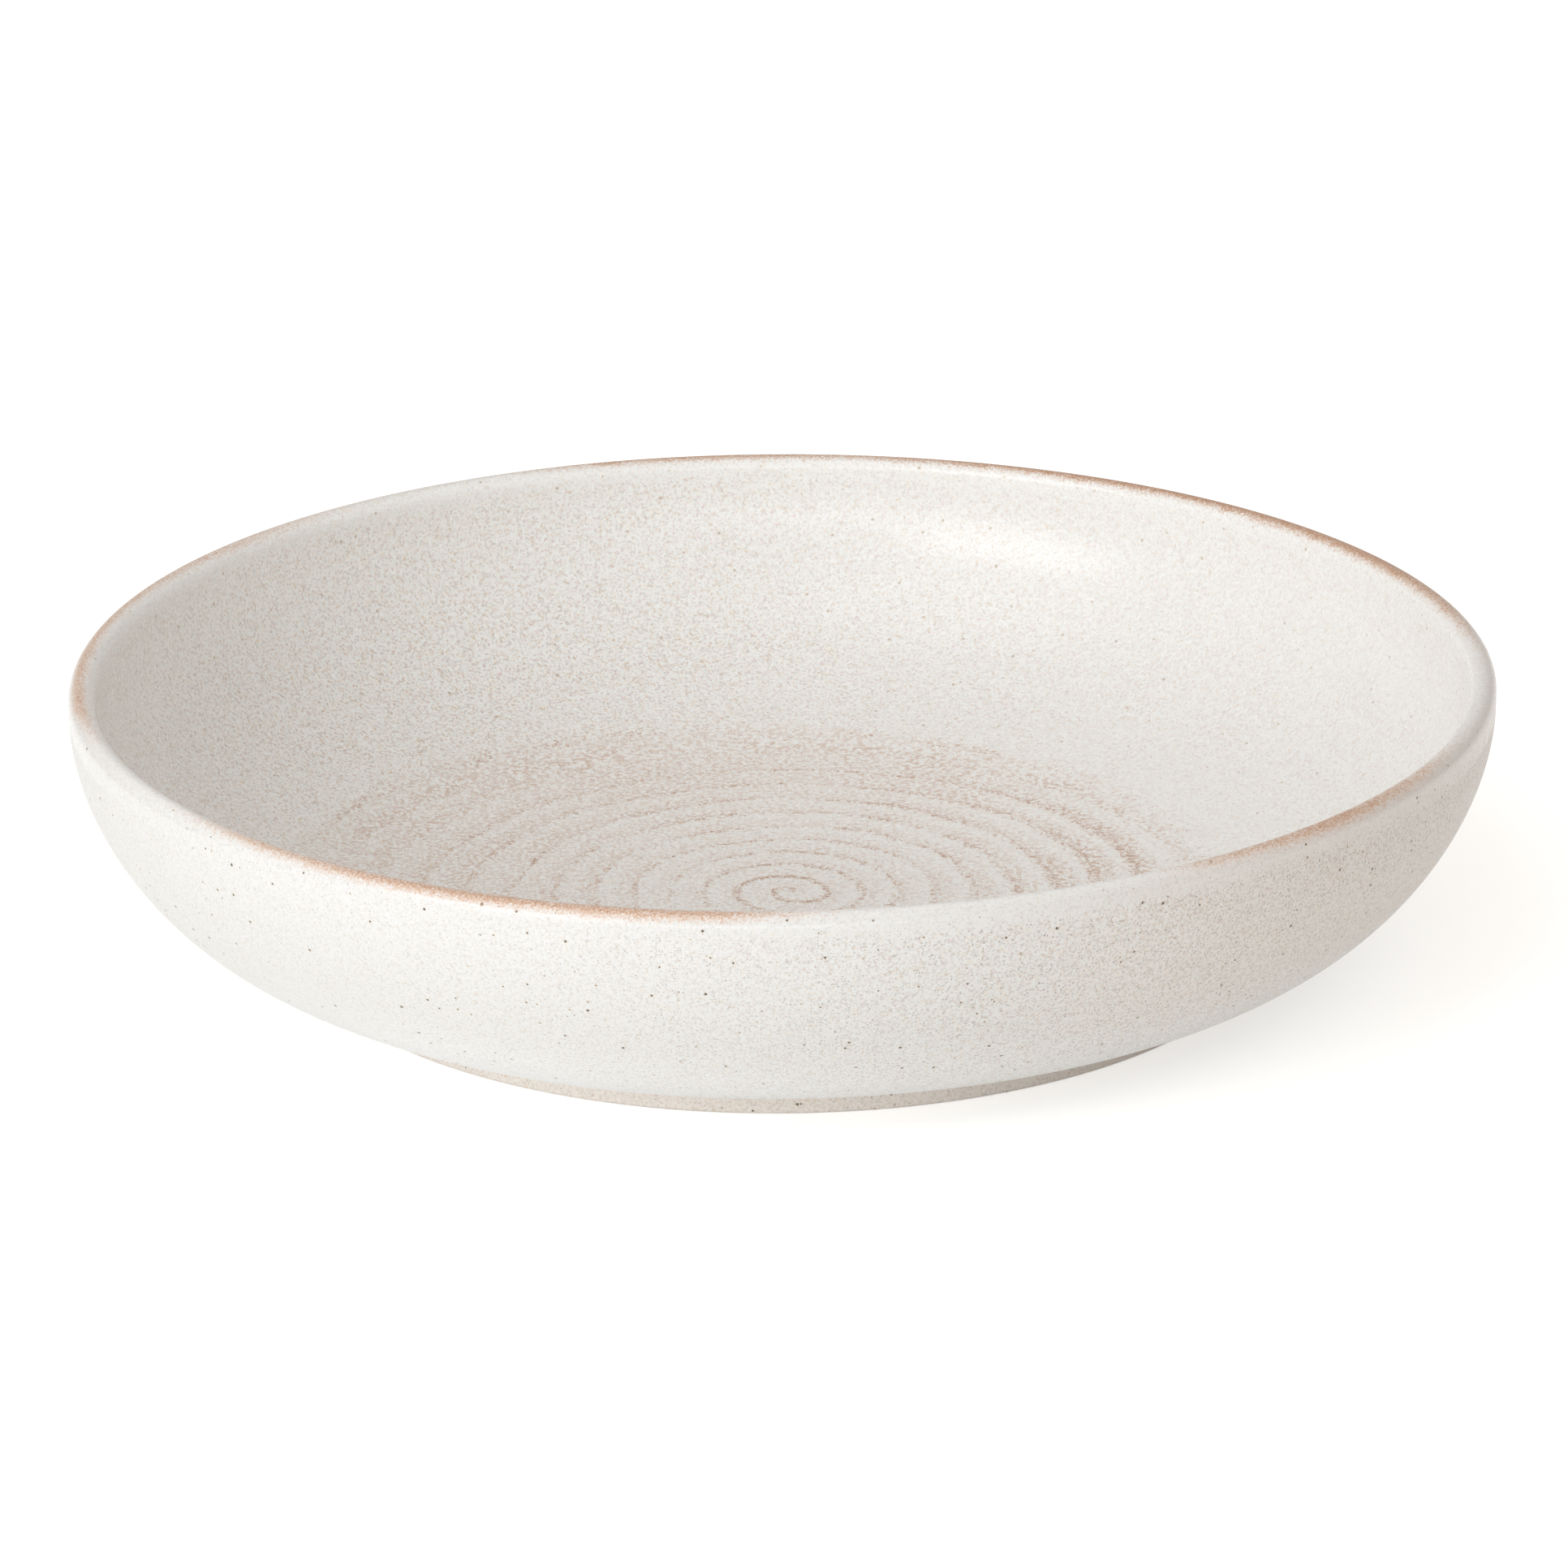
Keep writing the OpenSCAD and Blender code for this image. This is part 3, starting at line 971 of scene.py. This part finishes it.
# Painted bounce light: the low outer wall is painted lighter, except at the far left.
PAINTED_BOUNCE_TINT, TO_PAINTED_BOUNCE, PAINTED_BOUNCE_SIDE = colour(242, 242, 242), (36 * MM, 12 * MM), (-145 * MM, -72.5 * MM)
INSIDE_GRAIN = {"Grain": 0.32, "Pins": 0.18, "Blush": 0.4, "Pepper": 0.34}
OUTSIDE_GRAIN = {"Grain": 0.28, "Pins": 0.46, "Blush": 0.2, "Pepper": 0.9}
HOT_INSIDE, HOT_OUTSIDE, HOT_ACROSS = 1.95, 2.5, (-100 * MM, 100 * MM)
TO_LOW, LOW_GRAIN = (50 * MM, 18 * MM), 1.3


# Outer tint: the painted darker wall tint, warmer to the right, with painted bounce light low down.
def outside_shade_and_bounce(bench, x, z):
    painted_bounce = bench.times(bench.smooth(z, *TO_PAINTED_BOUNCE), bench.smooth(x, *PAINTED_BOUNCE_SIDE))
    shaded_wall_tint = bench.blend(bench.smooth(x, *TO_WARM), OUTSIDE_SHADED_TINT, OUTSIDE_SHADED_WARM)
    return bench.blend(painted_bounce, shaded_wall_tint, PAINTED_BOUNCE_TINT)


def grain_amounts(bench, x, z, outside):
    """Amounts for the ground, from those inside to those outside, with more on the hot side."""
    amounts = {
        label: bench.on_top(amount, outside, OUTSIDE_GRAIN[label] - amount)
        for label, amount in INSIDE_GRAIN.items()
    }
    hot = bench.smooth(x, *HOT_ACROSS, HOT_INSIDE, 1.0)
    hot = bench.times(hot, bench.smooth(z, *TO_LOW, 1.0, LOW_GRAIN))
    hot_outside = bench.smooth(x, *HOT_ACROSS, 1.0, HOT_OUTSIDE)
    hot = bench.on_top(hot, outside, bench.minus(hot_outside, hot))
    off_lip = bench.smooth(z, BAND_Z, HEIGHT - LIP_R, 1.0, 0.0)
    hot = bench.on_top(1.0, bench.minus(hot, 1.0), off_lip)
    hot_pins = bench.on_top(1.0, bench.times(outside, off_lip), bench.minus(hot_outside, 1.0))
    amounts["Grain"] = bench.times(amounts["Grain"], hot)
    amounts["Blush"] = bench.times(amounts["Blush"], hot)
    amounts["Pins"] = bench.times(amounts["Pins"], hot_pins)
    return amounts


print("grain inside:", INSIDE_GRAIN)
print("grain outside:", OUTSIDE_GRAIN)

# %% [markdown]
# ## The glazes
#
# Each glaze is a Principled shader fed by the groups. It is satin, not glossy: it has a broad soft
# light on the inside of the wall, and is drier on the outer wall and where the brown breaks through.
# A bump node gets the low ripple. Inside and outside change over on top of the lip, so the band
# there can share the outer finish. The ridge takes the inner finish, which lays the brown line on it.

# %% Glazes
RIM_BROWN, RIM_CORE = colour(212, 172, 142), colour(190, 147, 119)
LINE_BROWN, LINE_CORE, LINE_SHARE = colour(202, 166, 141), colour(170, 124, 96), 0.8
WASH_PINK, WASH_SHARE = colour(214, 190, 174), 0.95
BAND_BLEND = 1 * MM
DRY_OUTSIDE, DRY_BROWN = 0.15, 0.1
GLAZE_BUMP, GLAZE_BUMP_DEPTH = 0.1, 0.05 * MM


def new_finish(name):
    """A material with its bench and its Principled shader."""
    material = bpy.data.materials.new(name)
    material.use_nodes = True
    tree = material.node_tree
    return material, GlazeBench(tree), tree.nodes["Principled BSDF"]


def make_glaze(name, with_rings):
    material, bench, shader = new_finish(name)
    place = bench.node("ShaderNodeTexCoord").outputs["Object"]
    x, _, z, radius = bench.split(place)
    in_band = bench.smooth(z, BAND_Z - BAND_BLEND, BAND_Z)
    below_band = bench.minus(1.0, in_band)
    outside = bench.smooth(radius, RIM_R - LIP_R, RIM_R)
    outside = bench.times(outside, in_band) if with_rings else bench.largest(outside, below_band)

    # Painted light and shade: the inner coat gets the lighter tint, the outer coat the darker one.
    ground_tint = bench.blend(outside, INSIDE_LIT_TINT, outside_shade_and_bounce(bench, x, z))
    amounts = grain_amounts(bench, x, z, outside)
    ground = bench.group(GROUND, Vector=place, Ground=ground_tint, **amounts)
    tint = ground["Color"]
    if with_rings:
        rings = bench.group(RINGS, Vector=place)
        tint = bench.blend(bench.times(rings["Wash"], WASH_SHARE), tint, WASH_PINK)
        line_tint = bench.blend(rings["Core"], LINE_BROWN, LINE_CORE)
        tint = bench.blend(bench.times(rings["Line"], LINE_SHARE), tint, line_tint)
    rim = bench.group(RIM_BREAK, Vector=place)
    tint = bench.blend(rim["Brown"], tint, bench.blend(rim["Core"], RIM_BROWN, RIM_CORE))
    rough = bench.on_top(ground["Roughness"], bench.times(outside, below_band), DRY_OUTSIDE)
    rough = bench.on_top(rough, rim["Brown"], DRY_BROWN)
    bench.feed(shader.inputs["Base Color"], tint)
    bench.feed(shader.inputs["Roughness"], rough)
    bench.feed(shader.inputs["Normal"], bench.bump(ground["Height"], GLAZE_BUMP, GLAZE_BUMP_DEPTH))
    return material


glaze_inside = make_glaze("Speckled glaze inside", True)
glaze_outside = make_glaze("Speckled glaze outside", False)
for piece in (inner_glaze, throwing_ridge):
    piece.data.materials.append(glaze_inside)
for piece in (outer_glaze, rim_glaze, base_glaze):
    piece.data.materials.append(glaze_outside)
print("glazes:", glaze_inside.name, "and", glaze_outside.name)

# %% [markdown]
# ## The bare clay
#
# The foot shows the fired clay itself. It is rougher than the glaze, with a deeper bump, and more
# grainy to the right, where it is also painted darker as shade. It has the same iron in it, so the
# ground of the glaze serves here too, with stronger amounts.

# %% Bare clay
# The second clay tint is painted shade: the foot is painted darker towards the right.
CLAY_TINT, CLAY_PAINTED_SHADE = colour(248, 241, 234), colour(222, 214, 206)
SHADE_AND_GRAIN_TO = 100 * MM
CLAY_GRAIN = {"Grain": 0.42, "Blush": 0.6, "Pepper": 0.9}
CLAY_PINS, RIGHT_SIDE_PINS = 0.45, 0.5
CLAY_ROUGHER = 0.35
CLAY_BUMP, CLAY_BUMP_DEPTH = 0.6, 0.2 * MM


def make_clay():
    material, bench, shader = new_finish("Bare stoneware")
    place = bench.node("ShaderNodeTexCoord").outputs["Object"]
    # Painted shade and more pins towards the right of the foot.
    shade_and_grain_right = bench.smooth(bench.split(place)[0], 0.0, SHADE_AND_GRAIN_TO)
    tint = bench.blend(shade_and_grain_right, CLAY_TINT, CLAY_PAINTED_SHADE)
    pins = bench.on_top(CLAY_PINS, shade_and_grain_right, RIGHT_SIDE_PINS)
    ground = bench.group(GROUND, Vector=place, Ground=tint, Pins=pins, **CLAY_GRAIN)
    rough = bench.math("ADD", ground["Roughness"], CLAY_ROUGHER, clamp=True)
    bench.feed(shader.inputs["Base Color"], ground["Color"])
    bench.feed(shader.inputs["Roughness"], rough)
    bench.feed(shader.inputs["Normal"], bench.bump(ground["Height"], CLAY_BUMP, CLAY_BUMP_DEPTH))
    return material


clay_body.data.materials.append(make_clay())
print("clay:", clay_body.data.materials[0].name)

# %% [markdown]
# ## The floor
#
# The bowl stands on a plain white floor, so wide that its far edge shows only in very low views. More
# light would make it white, but would bleach the glaze. So it glows a little, and only for camera,
# glossy and transmission rays: the background is white, reflections see it white, no more light falls
# on the bowl, and the bowl's shadow stays.

# %% Floor
FLOOR_SIDE = 60.0
FLOOR_TINT = colour(246, 246, 244)
FLOOR_GLOW = 0.5


def make_floor():
    mesh = bpy.data.meshes.new("studio_floor")
    half = FLOOR_SIDE / 2
    corners = [(-half, -half, 0), (half, -half, 0), (half, half, 0), (-half, half, 0)]
    mesh.from_pydata(corners, [], [(0, 1, 2, 3)])
    floor = bpy.data.objects.new("studio_floor", mesh)
    bpy.context.scene.collection.objects.link(floor)
    material, bench, shader = new_finish("Studio floor")
    rays = bench.node("ShaderNodeLightPath").outputs
    seen = bench.largest(rays["Is Camera Ray"], rays["Is Glossy Ray"], rays["Is Transmission Ray"])
    bench.feed(shader.inputs["Emission Strength"], bench.times(seen, FLOOR_GLOW))
    shader.inputs["Emission Color"].default_value = (1, 1, 1, 1)
    shader.inputs["Base Color"].default_value = FLOOR_TINT
    shader.inputs["Roughness"].default_value = 1.0
    shader.inputs["Specular IOR Level"].default_value = 0.0
    mesh.materials.append(material)
    return floor


studio_floor = make_floor()
print(studio_floor.name, FLOOR_SIDE, "m across")

# %% [markdown]
# ## The light
#
# An even pale sky lights the bowl from all sides. Four soft boxes at the front shape it: the key box
# at the left shows as the soft patch on the inside of the wall, a high one opens up the floor, a low
# wide one lights the outer wall, and a fill box softens its right side. The boxes are a little cool
# and the sky a little warm.

# %% Soft boxes and sky
SKY = 0.555
SKY_TINT, BOX_TINT = (1.0, 0.96, 0.92), (0.945, 0.98, 1.0)
# Turn to the left of the camera's side and rise in degrees, distance and sides in metres, and power
BOXES = {
    "key_box": (44, 25, 1.5, (0.95, 0.55), 6.4),
    "high_box": (50, 62, 1.4, (1.0, 1.0), 3.4),
    "low_box": (22, 8, 1.5, (1.6, 0.5), 4.2),
    "fill_box": (-5, 10, 1.5, (1.4, 0.8), 2.2),
}

world = bpy.data.worlds.new("Pale sky")
world.use_nodes = True
world.node_tree.nodes["Background"].inputs["Color"].default_value = (*SKY_TINT, 1)
world.node_tree.nodes["Background"].inputs["Strength"].default_value = SKY
bpy.context.scene.world = world


def aim(thing, target):
    """Turns a lamp or a camera to look at a point."""
    thing.rotation_mode = "QUATERNION"
    thing.rotation_quaternion = (Vector(target) - thing.location).to_track_quat("-Z", "Y")


for name, (turn, rise, distance, sides, watts) in BOXES.items():
    lamp = bpy.data.lights.new(name, "AREA")
    lamp.shape = "RECTANGLE"
    lamp.size, lamp.size_y = sides
    lamp.energy = watts
    lamp.color = BOX_TINT
    box = bpy.data.objects.new(name, lamp)
    turn, rise = math.radians(turn), math.radians(rise)
    way = Vector((-math.sin(turn) * math.cos(rise), -math.cos(turn) * math.cos(rise), math.sin(rise)))
    box.location = distance * way
    aim(box, (0, 0, HEIGHT / 2))
    bpy.context.scene.collection.objects.link(box)
    print(name, "at", [round(c, 2) for c in box.location])

# %% [markdown]
# ## Camera
#
# The photograph was taken with a long lens from a little above. The distance, height and lens were
# worked out from the outline of the rim and the foot, so the camera is set by a few numbers: how far,
# how high, what it aims at, and a slight roll. The Standard view transform shows colours about as
# they are written.

# %% Camera
CAMERA_DISTANCE, CAMERA_RISE = 1.6, math.radians(21.156)
CAMERA_AIM = (0.26 * MM, 12.1 * MM, 31.3 * MM)
CAMERA_ROLL = math.radians(-0.451)
LENS = 156.1

camera_data = bpy.data.cameras.new("camera")
camera_data.lens = LENS
camera = bpy.data.objects.new("camera", camera_data)
bpy.context.scene.collection.objects.link(camera)
camera.location = (0, -CAMERA_DISTANCE * math.cos(CAMERA_RISE), CAMERA_DISTANCE * math.sin(CAMERA_RISE))
aim(camera, CAMERA_AIM)
camera.rotation_quaternion = camera.rotation_quaternion @ Quaternion((0, 0, 1), CAMERA_ROLL)
bpy.context.scene.camera = camera
bpy.context.scene.view_settings.view_transform = "Standard"
print("camera at", [round(c, 3) for c in camera.location])
